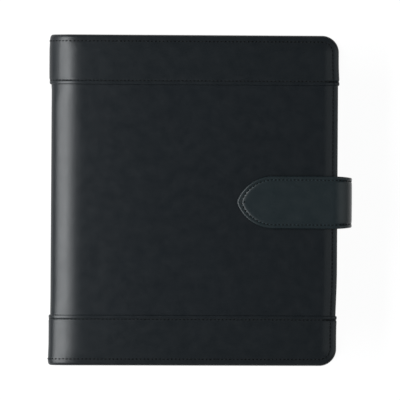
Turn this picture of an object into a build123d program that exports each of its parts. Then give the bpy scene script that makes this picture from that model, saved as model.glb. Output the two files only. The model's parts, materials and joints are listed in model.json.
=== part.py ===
from build123d import *
import math
import os

# A leather ring-planner cover, closed, lying on its back cover.
# X runs from the spine (-) to the fore-edge (+), Y to the head, Z up through the thickness.
# The origin is under the middle of the whole object, on the surface that it lies on.

# ---- driving dimensions, in millimetres ----
cover_height = 241.3  # over the head and tail bands
cover_width = 209.5  # main leather, spine to fore-edge
cover_thick = 42.0  # over the bands of both covers
band_height = 36.5  # head band and tail band, along Y
band_thick = 1.0  # the bands stand this proud of the main leather
leather_thick = 1.2
foam_thick = 1.0
board_thick = 2.0
lining_thick = 0.8
hinge_radius = 12.0  # outside of the leather where it rolls from cover to spine
board_gap = 10.0  # from the start of the roll to the board, where the padding tapers off
corner_radius = 10.0  # fore-edge corners

strap_width = 38.4
strap_thick = 2.4
strap_offset = -1.3  # the strap sits a little below the middle of the cover
strap_reach = 10.4  # the wrap stands this far outside the fore-edge
strap_bend = 8.0  # middle of the strap's thickness in both bends
strap_rest_gap = 0.2  # between the tab and the front leather
root_length = 15.5  # part of the strap sewn inside the back cover
tab_tip_inset = 73.3  # from the fore-edge to the tip of the tab
tab_shoulder = 26.6  # length of the pointed end
tab_ogive_radius = 28.5
tab_tip_radius = 5.0
tab_leather = 1.0
tab_stiffener = 0.6
stiffener_stop = 9.0  # the stiffener ends this far inside the fore-edge
magnet_radius = 6.0
magnet_thick = 0.5
magnet_inset = 22.0  # from the tip of the tab to the magnet
clasp_radius = 7.0
clasp_thick = 0.8

plate_length = 200.0  # ring mechanism
plate_width = 16.0
plate_rise = 4.5
plate_wall = 1.0
plate_corner = 2.2
ring_positions = [-88.9, -69.85, -50.8, 0.0, 50.8, 69.85, 88.9]
ring_outer = 12.5
ring_wire = 1.25  # radius of the wire
ring_centre_rise = 14.25  # from the lining of the spine to the middle of the rings
ring_tip_gap = 0.2
shank_offset = 5.2  # from mid thickness to each shank
blade_thick = 1.0
blade_length = 188.0
blade_gap = 0.3  # between the two blades
rivet_position = 79.4
rivet_shank = 1.6
rivet_head = 3.0
lever_width = 9.0

pen_bore = 5.5
pen_loop_wall = 0.9
pen_loop_length = 45.0
pocket_thick = 0.8
card_width = 98.0
card_height = 62.0
card_step = 18.0

# ---- derived places ----
overall_width = band_thick + cover_width + strap_reach
spine_x = -overall_width / 2 + band_thick
fore_edge = spine_x + cover_width
half_height = cover_height / 2
leather_half = half_height - band_thick
band_edge = half_height - band_height
mid_z = cover_thick / 2
front_top = cover_thick - band_thick
panel_thick = leather_thick + foam_thick + board_thick + lining_thick
roll_x = spine_x + hinge_radius
roll_z = front_top - hinge_radius
spine_half = roll_z - mid_z
spine_inside = spine_x + panel_thick
front_inside = front_top - panel_thick

strap_outer_x = fore_edge + strap_reach
strap_mid_x = strap_outer_x - strap_thick / 2
bend_x = strap_mid_x - strap_bend
root_z = band_thick + leather_thick + 0.3 + strap_thick / 2
tab_under = front_top + strap_rest_gap
bend_low_z = root_z + strap_bend
bend_high_z = tab_under + strap_thick / 2 - strap_bend
tip_x = fore_edge - tab_tip_inset
magnet_x = tip_x + magnet_inset
ring_x = spine_inside + ring_centre_rise
ring_mid = ring_outer - ring_wire
crown_x = spine_inside + plate_rise
blade_x = spine_inside + 0.85

os.makedirs("parts", exist_ok=True)


def save(piece, name):
    piece.label = name
    export_step(piece, f"parts/{name}.step")


def on_back(piece):
    """The same piece for the back cover, mirrored about mid thickness."""
    with BuildPart() as turned:
        add(piece)
        mirror(about=Plane.XY.offset(mid_z), mode=Mode.REPLACE)
    return turned.part


def at_tail(piece):
    """The same piece at the tail, mirrored about the middle of the height."""
    with BuildPart() as turned:
        add(piece)
        mirror(about=Plane.XZ, mode=Mode.REPLACE)
    return turned.part


# ---- flat layers of a cover ----
def panel_outline(inset, start=roll_x):
    """Outline of a cover from the spine roll to the fore-edge, rounded at the fore-edge corners."""
    reach = fore_edge - inset - start
    with BuildSketch() as outline:
        with Locations((start + reach / 2, 0)):
            Rectangle(reach, 2 * (leather_half - inset))
        outer_corners = outline.vertices().group_by(Axis.X)[-1]
        fillet(outer_corners, radius=corner_radius - inset)
    return outline.sketch


def front_layer(depth, thickness, inset, start=roll_x):
    """A flat layer of the front cover, its top face at depth below the main leather's face."""
    shape = panel_outline(inset, start)
    with BuildPart() as layer:
        with BuildSketch(Plane.XY.offset(front_top - depth)):
            add(shape)
        extrude(amount=-thickness)
    return layer.part


def panel_leather():
    """Main leather of the front cover, turned down over the head, tail and fore-edge."""
    outside = panel_outline(0)
    inside = panel_outline(leather_thick, roll_x - 1)
    with BuildPart() as leather:
        with BuildSketch(Plane.XY.offset(front_top)):
            add(outside)
        extrude(amount=-panel_thick)
        with BuildSketch(Plane.XY.offset(front_inside)):
            add(inside)
        extrude(amount=panel_thick - leather_thick, mode=Mode.SUBTRACT)
    return leather.part


def panel_band():
    """Head band of the front cover: over the face, the head edge and round the fore-edge corner."""
    outside = panel_outline(-band_thick)
    inside = panel_outline(0, roll_x - 1)
    with BuildPart() as band:
        with BuildSketch(Plane.XY.offset(cover_thick)):
            add(outside)
        extrude(amount=-(panel_thick + band_thick))
        with BuildSketch(Plane.XY.offset(front_inside)):
            add(inside)
        extrude(amount=panel_thick, mode=Mode.SUBTRACT)
        split(bisect_by=Plane.XZ.offset(-band_edge), keep=Keep.BOTTOM)
    return band.part


# ---- rolls between the covers and the spine ----
def upper_roll(outer, thickness, y_low, y_high):
    """A quarter-round strip round the front cover's roll."""
    with BuildPart() as strip:
        with BuildSketch(Plane.XZ.offset(-y_high)):
            with Locations((roll_x, roll_z)):
                Circle(outer)
                Circle(outer - thickness, mode=Mode.SUBTRACT)
                Rectangle(2 * outer, 2 * outer, align=(Align.MAX, Align.MIN), mode=Mode.INTERSECT)
        extrude(amount=y_high - y_low)
    return strip.part


def lining_roll():
    """Lining at the roll: it runs out along both boards and lies against the leather between them."""
    outer = hinge_radius - leather_thick
    reach = leather_half - leather_thick
    leg = outer - (hinge_radius - panel_thick)
    with BuildPart() as strip:
        with BuildSketch(Plane.XZ.offset(-reach)):
            with Locations((roll_x, roll_z)):
                Circle(outer)
                Circle(outer - lining_thick, mode=Mode.SUBTRACT)
            with Locations((roll_x, roll_z + outer)):
                Rectangle(lining_thick, leg, align=(Align.MAX, Align.MAX))
            with Locations((roll_x - outer, roll_z)):
                Rectangle(leg, lining_thick, align=(Align.MIN, Align.MIN))
            with Locations((roll_x, roll_z)):
                Circle(outer, mode=Mode.INTERSECT)
                Rectangle(2 * outer, 2 * outer, align=(Align.MAX, Align.MIN), mode=Mode.INTERSECT)
        extrude(amount=2 * reach)
    return strip.part


# ---- spine ----
def spine_slab(x_low, thickness, y_low, y_high):
    with BuildPart() as slab:
        with BuildSketch(Plane.XZ.offset(-y_high)):
            with Locations((x_low, mid_z)):
                Rectangle(thickness, 2 * spine_half, align=(Align.MIN, Align.CENTER))
        extrude(amount=y_high - y_low)
    return slab.part


def with_rivet_holes(piece):
    with BuildPart() as drilled:
        add(piece)
        with BuildSketch(Plane.YZ.offset(spine_x)):
            with Locations((-rivet_position, mid_z), (rivet_position, mid_z)):
                Circle(rivet_shank + 0.05)
        extrude(amount=2 * panel_thick, mode=Mode.SUBTRACT)
    return drilled.part


def spine_leather():
    """Leather of the spine, turned in over the ends of the board."""
    reach = leather_half - leather_thick
    with BuildPart() as leather:
        with BuildSketch(Plane.XZ.offset(-leather_half)):
            with Locations((spine_x, mid_z)):
                Rectangle(panel_thick, 2 * spine_half, align=(Align.MIN, Align.CENTER))
        extrude(amount=2 * leather_half)
        with BuildSketch(Plane.XZ.offset(-reach)):
            with Locations((spine_x + leather_thick, mid_z)):
                Rectangle(panel_thick, 2 * spine_half, align=(Align.MIN, Align.CENTER))
        extrude(amount=2 * reach, mode=Mode.SUBTRACT)
    return leather.part


def spine_band():
    """Head band over the spine, turned in over the head."""
    with BuildPart() as band:
        with BuildSketch(Plane.XZ.offset(-half_height)):
            with Locations((spine_x - band_thick, mid_z)):
                Rectangle(panel_thick + band_thick, 2 * spine_half, align=(Align.MIN, Align.CENTER))
        extrude(amount=band_height)
        with BuildSketch(Plane.XZ.offset(-leather_half)):
            with Locations((spine_x, mid_z)):
                Rectangle(panel_thick, 2 * spine_half, align=(Align.MIN, Align.CENTER))
        extrude(amount=band_height, mode=Mode.SUBTRACT)
    return band.part


# ---- ring mechanism ----
def ring_plate():
    """Channel with its crown towards the pages, notched for the shanks and cut away for the levers."""
    notch_low = shank_offset - ring_wire - 0.6
    notch_high = shank_offset + ring_wire + 1.2
    notch_mid = (notch_low + notch_high) / 2
    places = [(y, mid_z + s * notch_mid) for y in ring_positions for s in (-1, 1)]
    with BuildPart() as plate:
        with BuildSketch(Plane.XZ.offset(-plate_length / 2)) as section:
            with Locations((spine_inside, mid_z)):
                Rectangle(plate_rise, plate_width, align=(Align.MIN, Align.CENTER))
            fillet(section.vertices().group_by(Axis.X)[-1], radius=plate_corner)
            with Locations((spine_inside, mid_z)):
                Rectangle(
                    plate_rise - plate_wall,
                    plate_width - 2 * plate_wall,
                    align=(Align.MIN, Align.CENTER),
                    mode=Mode.SUBTRACT,
                )
        extrude(amount=plate_length)
        with BuildSketch(Plane.YZ.offset(crown_x - plate_wall - 0.3)):
            with Locations(places):
                Rectangle(2 * ring_wire + 0.8, notch_high - notch_low)
            with Locations((plate_length / 2, mid_z), (-plate_length / 2, mid_z)):
                Rectangle(11, lever_width + 1.5)
            with Locations((rivet_position, mid_z), (-rivet_position, mid_z)):
                Circle(rivet_shank + 0.05)
        extrude(amount=plate_rise, mode=Mode.SUBTRACT)
    return plate.part


def upper_blade():
    """Flat steel blade under the crown, with half-round clearances for the rivets."""
    width = plate_width / 2 - plate_wall - 0.2 - blade_gap / 2
    with BuildPart() as blade:
        with BuildSketch(Plane.YZ.offset(blade_x)):
            with Locations((0, mid_z + blade_gap / 2)):
                Rectangle(blade_length, width, align=(Align.CENTER, Align.MIN))
            with Locations((-rivet_position, mid_z), (rivet_position, mid_z)):
                Circle(rivet_shank + 0.7, mode=Mode.SUBTRACT)
        extrude(amount=blade_thick)
    return blade.part


def upper_half_ring(y):
    """Half ring with its shank, which goes through the crown to the upper blade."""
    sweep_angle = 165.0
    foot = crown_x + 0.65
    tip_plane = Plane((ring_x + ring_mid, y, mid_z), x_dir=(1, 0, 0), z_dir=(0, 0, 1))
    with BuildPart() as ring:
        with BuildSketch(tip_plane):
            Circle(ring_wire)
        revolve(axis=Axis((ring_x, y, mid_z), (0, -1, 0)), revolution_arc=sweep_angle)
        split(bisect_by=Plane.XY.offset(mid_z + ring_tip_gap / 2), keep=Keep.TOP)
        split(bisect_by=Plane.YZ.offset(foot), keep=Keep.TOP)
        with BuildSketch(Plane.YZ.offset(blade_x + blade_thick)):
            with Locations((y, mid_z + shank_offset)):
                Circle(ring_wire)
        extrude(amount=foot + 0.9 - blade_x - blade_thick)
    return ring.part


def rivet(y):
    """Tubular rivet with a domed head on the crown."""
    board_face = spine_x + leather_thick
    with BuildPart() as post:
        with BuildSketch(Plane.YZ.offset(board_face)):
            with Locations((y, mid_z)):
                Circle(rivet_shank)
        extrude(amount=crown_x - board_face)
        with BuildSketch(Plane.YZ.offset(crown_x)):
            with Locations((y, mid_z)):
                Circle(rivet_head)
        extrude(amount=0.9)
        fillet(post.faces().sort_by(Axis.X)[-1].edges(), radius=0.6)
    return post.part


def head_lever():
    """Bent steel tab that stands out of the plate's head end."""
    foot_x = spine_inside + 0.75
    bend_y = plate_length / 2 - 1.2
    with BuildPart() as lever:
        with BuildSketch(Plane.XY.offset(mid_z - lever_width / 2)):
            with BuildLine():
                FilletPolyline(
                    (foot_x, bend_y - 3.2),
                    (foot_x, bend_y),
                    (foot_x + 10.5, bend_y + 4.2),
                    (foot_x + 11.5, bend_y + 3.4),
                    (foot_x + 1.4, bend_y - 0.8),
                    (foot_x + 1.1, bend_y - 3.2),
                    radius=0.25,
                    close=True,
                )
            make_face()
        extrude(amount=lever_width)
    return lever.part


# ---- linings, pockets and the pen loop ----
def rounded_sheet(x_mid, y_mid, width, height, z_top, thickness, radius=3.0):
    with BuildPart() as sheet:
        with BuildSketch(Plane.XY.offset(z_top)):
            with Locations((x_mid, y_mid)):
                RectangleRounded(width, height, radius)
        extrude(amount=-thickness)
    return sheet.part


def pen_loop():
    """Leather loop sewn to the back lining near the fore-edge, its bore along Y."""
    outer = pen_bore + pen_loop_wall
    loop_x = fore_edge - 11.5
    loop_z = band_thick + panel_thick + outer
    with BuildPart() as loop:
        with BuildSketch(Plane.XZ.offset(-pen_loop_length / 2 - 45)):
            with Locations((loop_x, loop_z)):
                Circle(outer)
            with Locations((loop_x, band_thick + panel_thick)):
                Rectangle(17, pen_loop_wall, align=(Align.CENTER, Align.MIN))
            with Locations((loop_x, loop_z)):
                Circle(pen_bore, mode=Mode.SUBTRACT)
        extrude(amount=pen_loop_length)
    return loop.part


# ---- strap ----
def strap_slab(x_low, x_high, z_low, z_high):
    """A straight stretch of the strap, across its full width."""
    with BuildPart() as slab:
        with BuildSketch(Plane.XY.offset(z_low)):
            with Locations((x_low, strap_offset)):
                Rectangle(x_high - x_low, strap_width, align=(Align.MIN, Align.CENTER))
        extrude(amount=z_high - z_low)
    return slab.part


def strap_quarter(centre_z, outward):
    """A quarter-round bend of the strap; outward is Align.MIN for the upper bend, MAX for the lower."""
    outer = strap_bend + strap_thick / 2
    with BuildPart() as bend:
        with BuildSketch(Plane.XZ.offset(-strap_offset - strap_width / 2)):
            with Locations((bend_x, centre_z)):
                Circle(outer)
                Circle(outer - strap_thick, mode=Mode.SUBTRACT)
                Rectangle(2 * outer, 2 * outer, align=(Align.MIN, outward), mode=Mode.INTERSECT)
        extrude(amount=strap_width)
    return bend.part


def tab_outline(inset):
    """Outline of the tab: parallel sides and a pointed, round-nosed end."""
    half = strap_width / 2 - inset
    shoulder = tip_x + tab_shoulder
    radius = tab_ogive_radius - inset
    centre_drop = radius - half
    nose = shoulder - math.sqrt(radius**2 - centre_drop**2)
    halfway = math.radians(90 + 0.5 * math.degrees(math.acos(centre_drop / radius)))
    mid_x = shoulder + radius * math.cos(halfway)
    mid_y = radius * math.sin(halfway) - centre_drop
    with BuildSketch() as outline:
        with BuildLine():
            Line((shoulder, half), (bend_x, half))
            Line((bend_x, half), (bend_x, -half))
            Line((bend_x, -half), (shoulder, -half))
            ThreePointArc((shoulder, -half), (mid_x, -mid_y), (nose, 0))
            ThreePointArc((nose, 0), (mid_x, mid_y), (shoulder, half))
        make_face()
        fillet(outline.vertices().sort_by(Axis.X)[0], radius=tab_tip_radius - inset)
    return outline.sketch


def tab_layer(z_low, thickness, inset=0.0, hole=0.0):
    """A layer of the tab, with an optional round hole for the magnet."""
    shape = tab_outline(inset)
    with BuildPart() as layer:
        with BuildSketch(Plane((0, strap_offset, z_low))):
            add(shape)
            if hole:
                with Locations((magnet_x, 0)):
                    Circle(hole, mode=Mode.SUBTRACT)
        extrude(amount=thickness)
    return layer.part


def disc(radius, z_low, thickness):
    """A disc under or in the tab, on the magnet's axis."""
    with BuildPart() as plate:
        with BuildSketch(Plane.XY.offset(z_low)):
            with Locations((magnet_x, strap_offset)):
                Circle(radius)
        extrude(amount=thickness)
    return plate.part


# ==== back cover and front cover ====
foam_inset = leather_thick + 0.1
board_start = roll_x + board_gap
foam = front_layer(leather_thick, foam_thick, foam_inset, board_start)
board = front_layer(leather_thick + foam_thick, board_thick, foam_inset, board_start)
lining = front_layer(panel_thick - lining_thick, lining_thick, leather_thick)
leather = panel_leather()
band = panel_band()

clasp_z = front_top - leather_thick - 0.1 - clasp_thick
with BuildPart() as front_foam:
    add(foam)
    with BuildSketch(Plane.XY.offset(front_inside)):
        with Locations((magnet_x, strap_offset)):
            Circle(clasp_radius + 0.2)
    extrude(amount=panel_thick, mode=Mode.SUBTRACT)
save(front_foam.part, "front_foam")
save(board, "front_board")
save(leather, "front_leather")
save(lining, "front_lining")
save(band, "front_head_band")
save(at_tail(band), "front_tail_band")
save(disc(clasp_radius, clasp_z, clasp_thick), "clasp_plate")

save(on_back(lining), "back_lining")
save(on_back(band), "back_head_band")
save(on_back(at_tail(band)), "back_tail_band")


def with_strap_room(piece, z_low, z_high):
    """A back cover layer cut away where the root of the strap lies."""
    with BuildPart() as cut:
        add(piece)
        with BuildSketch(Plane.XY.offset(z_low)):
            with Locations((fore_edge - root_length - 0.5, strap_offset)):
                Rectangle(2 * root_length, strap_width + 0.6, align=(Align.MIN, Align.CENTER))
        extrude(amount=z_high - z_low, mode=Mode.SUBTRACT)
    return cut.part


leather_inner = band_thick + leather_thick
root_top = root_z + strap_thick / 2 + 0.1
save(with_strap_room(on_back(foam), 0, front_top), "back_foam")
save(with_strap_room(on_back(board), 0, front_top), "back_board")
save(with_strap_room(on_back(leather), leather_inner, root_top), "back_leather")

# ==== rolls ====
leather_roll = upper_roll(hinge_radius, leather_thick, -leather_half, leather_half)
band_roll = upper_roll(hinge_radius + band_thick, band_thick, band_edge, half_height)
rolls = {
    "leather": leather_roll,
    "head_band": band_roll,
    "tail_band": at_tail(band_roll),
    "lining": lining_roll(),
}
for name, roll in rolls.items():
    save(roll, f"front_roll_{name}")
    save(on_back(roll), f"back_roll_{name}")

# ==== spine ====
inner_reach = leather_half - leather_thick
spine_board_x = spine_x + leather_thick
spine_lining_x = spine_inside - lining_thick
spine_board = spine_slab(spine_board_x, foam_thick + board_thick, -inner_reach, inner_reach)
spine_lining = spine_slab(spine_lining_x, lining_thick, -inner_reach, inner_reach)
save(with_rivet_holes(spine_board), "spine_board")
save(with_rivet_holes(spine_lining), "spine_lining")
save(spine_leather(), "spine_leather")
save(spine_band(), "spine_head_band")
save(at_tail(spine_band()), "spine_tail_band")

# ==== ring mechanism ====
save(ring_plate(), "ring_plate")
save(rivet(rivet_position), "rivet_head")
save(rivet(-rivet_position), "rivet_tail")
save(upper_blade(), "upper_blade")
save(on_back(upper_blade()), "lower_blade")
for number, ring_y in enumerate(ring_positions, 1):
    half_ring = upper_half_ring(ring_y)
    save(half_ring, f"upper_ring_{number}")
    save(on_back(half_ring), f"lower_ring_{number}")
save(head_lever(), "lever_head")
save(at_tail(head_lever()), "lever_tail")

# ==== pockets and pen loop ====
back_inside = band_thick + panel_thick
pocket_end = fore_edge - 5
save(rounded_sheet(7.5, -57, 155, 112, front_inside, pocket_thick), "front_slip_pocket")
for number in range(2):
    card_y = 62 - number * card_step
    card_top = front_inside - number * pocket_thick
    card = rounded_sheet(20, card_y, card_width, card_height, card_top, pocket_thick)
    save(card, f"card_pocket_{number + 1}")
back_pocket_top = back_inside + pocket_thick
save(rounded_sheet(25, -30, 100, 166, back_pocket_top, pocket_thick), "back_slip_pocket")
save(pen_loop(), "pen_loop")

# ==== strap ====
root_low = root_z - strap_thick / 2
save(strap_slab(fore_edge - root_length, bend_x, root_low, root_low + strap_thick), "strap_root")
save(strap_quarter(bend_low_z, Align.MAX), "strap_lower_bend")
save(strap_quarter(bend_high_z, Align.MIN), "strap_upper_bend")
save(strap_slab(strap_outer_x - strap_thick, strap_outer_x, bend_low_z, bend_high_z), "strap_wrap")

tab_lining = strap_thick - tab_leather - tab_stiffener
stiffener_z = tab_under + tab_lining
save(tab_layer(tab_under, tab_lining), "tab_lining")
with BuildPart() as stiffener:
    add(tab_layer(stiffener_z, tab_stiffener, 1.5, magnet_radius + 0.2))
    split(bisect_by=Plane.YZ.offset(fore_edge - stiffener_stop), keep=Keep.BOTTOM)
save(stiffener.part, "tab_stiffener")
save(disc(magnet_radius, stiffener_z, magnet_thick), "tab_magnet")
save(tab_layer(stiffener_z + tab_stiffener, tab_leather), "tab_leather")
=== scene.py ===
import json
import math

import bpy
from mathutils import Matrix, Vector, noise


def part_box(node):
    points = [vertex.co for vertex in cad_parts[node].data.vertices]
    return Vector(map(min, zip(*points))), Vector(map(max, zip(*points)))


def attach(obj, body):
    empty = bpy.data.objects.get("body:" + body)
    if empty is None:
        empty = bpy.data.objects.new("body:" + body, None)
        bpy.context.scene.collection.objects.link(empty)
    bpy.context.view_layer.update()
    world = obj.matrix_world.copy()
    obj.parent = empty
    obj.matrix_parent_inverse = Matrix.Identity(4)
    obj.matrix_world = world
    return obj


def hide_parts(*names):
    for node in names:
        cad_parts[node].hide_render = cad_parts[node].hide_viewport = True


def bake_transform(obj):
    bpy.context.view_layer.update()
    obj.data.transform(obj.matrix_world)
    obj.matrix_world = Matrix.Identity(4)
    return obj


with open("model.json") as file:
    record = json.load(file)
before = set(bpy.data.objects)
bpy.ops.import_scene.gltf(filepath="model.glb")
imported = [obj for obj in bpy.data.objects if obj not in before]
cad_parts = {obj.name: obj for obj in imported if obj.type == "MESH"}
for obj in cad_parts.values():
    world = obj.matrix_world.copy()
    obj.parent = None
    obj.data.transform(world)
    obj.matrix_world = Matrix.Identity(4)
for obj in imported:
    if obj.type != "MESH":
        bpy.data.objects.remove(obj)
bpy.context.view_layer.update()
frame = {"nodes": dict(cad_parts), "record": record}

# Lengths below are in millimetres. They become metres where a mesh is made.
MM = 0.001


def box_mm(node):
    """Lowest and highest corner of a CAD node at rest."""
    low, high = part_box(node)
    return [v / MM for v in low], [v / MM for v in high]


# ---- places read from the frame ----
leather_low, leather_high = box_mm("front_leather")
roll_low = box_mm("front_roll_leather")[0]
band_low, band_high = box_mm("front_head_band")
wrap_low, wrap_high = box_mm("strap_wrap")
tab_low, tab_high = box_mm("tab_leather")
TOP = leather_high[2]  # face of the front cover
FORE = leather_high[0]  # fore-edge of both covers
HALF = leather_high[1]  # head edge of both covers; the tail edge mirrors it
ROLL_X = leather_low[0]  # where a cover ends and its roll starts
ROLL_Z = roll_low[2]  # where the upper roll ends and the spine starts
SPINE_X = roll_low[0]  # outer face of the spine
ROLL_R = ROLL_X - SPINE_X
ROLL_ARC = ROLL_R * math.pi / 2  # length of the leather round one roll
MID = sum(box_mm("spine_leather")[i][2] for i in (0, 1)) / 2  # mid height of the closed cover
PANEL = TOP - leather_low[2]  # thickness of one cover
BAND_EDGE = band_low[1]  # folded inner edge of the head band
BAND_PROUD = band_high[2] - TOP  # how far a band stands over the main leather
SPINE_END = ROLL_ARC + ROLL_Z - MID  # mid spine, measured along the leather from the start of the roll

# ---- sizes chosen for the look ----
SHOULDER = 10.5  # how far the soft roll is drawn out over the cover
CORNER = 11.5  # radius of the fore-edge corners
COVER_END = -(FORE - CORNER - ROLL_X)  # start of the fore-edge border, measured like SPINE_END
STITCH_IN = 3.8  # from the edge to the seam round each cover
SEAM_IN = 2.9  # from a band's folded edge to its seam
PITCH = 2.82  # one stitch and its gap
MAIN_THICK = 0.5  # main leather
BAND_THICK = 0.7
LINING_THICK = 0.35
POCKET_THICK = 0.5
FOAM_GAP = 0.9  # from the leather's face to the foam under it
BEND_DEPTH = 2.5  # how far inside the leather's face the hinge points lie
SHARP_ANGLE = math.radians(55)  # a sharper edge than this is shaded as one

# Border of a cover from the padded face outwards, over the edge and in under it:
# distance in from the edge, and height over the main face.
LEATHER_EDGE = [
    (CORNER, 0.0), (10.4, -0.02), (9.4, -0.09), (8.4, -0.22), (7.4, -0.38), (6.4, -0.55), (5.4, -0.73),
    (4.7, -0.86), (4.2, -0.95), (3.8, -1.0), (3.45, -0.99), (3.05, -1.03), (2.5, -1.11), (1.8, -1.22),
    (1.1, -1.38), (0.5, -1.72), (0.1, -2.3), (0.0, -2.95), (0.2, -3.8), (0.75, -4.35), (1.6, -4.55),
    (3.0, -4.6), (6.0, -4.6), (9.0, -4.6),
]
TURN_FROM, TURN_OVER = 2.2, 2.0  # the edge is turned in from this drop, and wholly this much lower
LINING_EDGE = [
    (CORNER, -5.0), (7.5, -5.0), (5.6, -5.12), (4.6, -5.25), (4.15, -5.15), (3.8, -4.98),
    (3.45, -5.15), (3.0, -5.28), (2.5, -5.25), (2.1, -5.05), (2.05, -4.8), (2.6, -4.62),
]
SEAM_DROP = -1.0  # height of the seam round a cover, from its padded face
LINING_SEAM = -4.98  # height of the same seam in the lining
# Folded inner edge of a band: distance from the fold, and height over the main leather.
BAND_FOLD = [
    (1.8, 0.02), (0.25, 0.0), (0.02, 0.3), (0.05, 0.62), (0.3, 0.92), (0.8, 1.04), (1.5, 1.07),
    (2.1, 1.0), (2.6, 0.74), (2.9, 0.58), (3.2, 0.74), (3.8, 1.0), (4.8, 1.05),
]
BAND_GROOVE = 0.58  # height of the seam in that fold
BAND_TURNED = 0.3  # share of a band's height that is left where it is turned in under the cover


def smooth(t):
    """0 to 1 with soft ends as t goes from 0 to 1."""
    t = min(1.0, max(0.0, t))
    return t * t * (3 - 2 * t)


def steps(low, high, size):
    """Even places from low to high, about size apart."""
    count = max(1, round((high - low) / size))
    return [low + (high - low) * i / count for i in range(count + 1)]


def profile_normals(profile):
    """Outward normal at each point of a border profile, as (out of the edge, up)."""
    normals = []
    for i in range(len(profile)):
        a = profile[max(0, i - 1)]
        b = profile[min(len(profile) - 1, i + 1)]
        out, up = -(b[0] - a[0]), b[1] - a[1]
        size = math.hypot(out, up)
        normals.append((-up / size, out / size))
    return normals


# ---- the shell: front face, roll, and half of the spine ----
def roll_angle(s, shoulder=SHOULDER):
    """0 where the cover starts to fall away, a quarter turn where the leather reaches the spine."""
    return min(1.0, max(0.0, (s + shoulder) / (ROLL_ARC + shoulder))) * math.pi / 2


def section(s, lift, shoulder=SHOULDER):
    """A point of the shell's cross-section, as x and z.

    s runs along the leather from the start of the roll, and is negative on the cover."""
    nx, nz = section_normal(s, shoulder)
    if s <= -shoulder:
        return ROLL_X - s, TOP + lift
    if s <= ROLL_ARC:
        angle = roll_angle(s, shoulder)
        x = ROLL_X + shoulder - (ROLL_R + shoulder) * math.sin(angle)
        return x + nx * lift, ROLL_Z + ROLL_R * math.cos(angle) + nz * lift
    return SPINE_X - lift, ROLL_Z - (s - ROLL_ARC)


def section_normal(s, shoulder=SHOULDER):
    """Outward normal of the cross-section, as x and z."""
    angle = roll_angle(s, shoulder)
    nx, nz = -math.sin(angle) * ROLL_R, math.cos(angle) * (ROLL_R + shoulder)
    size = math.hypot(nx, nz)
    return nx / size, nz / size


def shoulder_drop(s):
    """The padding thins towards the spine, and the leather comes back to its full reach on the spine."""
    reach, depth = 62.0, 1.3
    if s <= 0:
        return -depth * max(0.0, 1 + s / reach) ** 2
    t = min(1.0, s / ROLL_ARC)
    slope = 2 * depth * ROLL_ARC / reach
    return -depth * (1 - smooth(t)) - slope * t * (1 - t) ** 2


def border_raise(s):
    """The spine has no padding, so the border of the leather hardly drops there."""
    return 0.75 * smooth((s + 12) / 16)


def no_drop(s):
    """The lining has no padding over it."""
    return 0.0


def shell_point(col, row, profile, normals, drop_at):
    """A point on the shell of the front cover's head half, and its normal.

    col and row are ("edge", point of the border profile) or ("run", place along the shell)."""
    col_kind, col_at = col
    row_kind, row_at = row
    corner_x, corner_y = FORE - CORNER, HALF - CORNER
    if col_kind == "edge" and row_kind == "edge":
        ring, inner = max(col_at, row_at), min(col_at, row_at)
        angle = math.pi / 4 * (inner / ring if ring else 0.0)
        if row_at > col_at:
            angle = math.pi / 2 - angle
        inset, lift = profile[ring]
        out, up = normals[ring]
        radius = CORNER - inset
        flat = Vector((math.cos(angle), math.sin(angle), 0))
        point = Vector((corner_x, corner_y, TOP + lift)) + flat * radius
        normal = Vector((flat.x * out, flat.y * out, up))
    elif col_kind == "edge":
        inset, lift = profile[col_at]
        out, up = normals[col_at]
        point = Vector((FORE - inset, row_at, TOP + lift))
        normal = Vector((out, 0, up))
    elif row_kind == "edge":
        inset, lift = profile[row_at]
        out, up = normals[row_at]
        drop, shoulder = drop_at(col_at), 0.0
        if profile is LEATHER_EDGE:
            # The edge turned in under the cover follows the lining, not the padding.
            under = smooth((-lift - TURN_FROM) / TURN_OVER)
            lift += border_raise(col_at) * min(1.0, -lift) * (1 - under)
            drop *= 1 - under
            shoulder = SHOULDER * (1 - under)
        nx, nz = section_normal(col_at, shoulder)
        x, z = section(col_at, lift + drop, shoulder)
        point = Vector((x, HALF - inset, z))
        normal = Vector((nx * up, out, nz * up))
    else:
        shoulder = SHOULDER if profile is LEATHER_EDGE else 0.0
        nx, nz = section_normal(col_at, shoulder)
        x, z = section(col_at, profile[0][1] + drop_at(col_at), shoulder)
        point = Vector((x, row_at, z))
        normal = Vector((nx, 0, nz))
    return point, normal


def settle(point):
    """Move a point as the used cover does, which isn't quite square.

    narrow draws the fore-edge in at the head and tail, splay pushes the ends of the spine out, and lean
    tips the rolls in at the head and out at the tail. The tail edge is a little longer at the spine.
    Nothing goes below the floor."""
    x, y, z = point
    near_spine = smooth((ROLL_X + 6 - x) / 18)
    near_fore = smooth((x - 40) / 60)
    narrow = 1.2 * smooth((-y - 50) / 50) + 0.5 * smooth((y - 84) / 18)
    splay = 1.0 * smooth((-y - 104) / 20) + 0.8 * smooth((y - 78) / 14)
    splay *= 1.0 if abs(z - MID) < 16 else 0.8
    lean = 2.0 * smooth((y - 66) / 26) - 1.0 * smooth((-y - 66) / 26)
    x += near_spine * lean * smooth((abs(z - MID) - 6) / 9)
    x -= near_spine * splay + near_fore * narrow
    y -= 0.8 * smooth((-y - 60) / 60) * (FORE - x) / (FORE - SPINE_X)
    return Vector((x, y, max(z, 0.02)))


def softness(x, y):
    """Slow unevenness of padded leather, in millimetres."""
    coarse = noise.noise(Vector((x / 55, y / 47, 3.1)))
    fine = noise.noise(Vector((x / 19, y / 23, 8.4)))
    return 0.08 * coarse + 0.03 * fine


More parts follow.
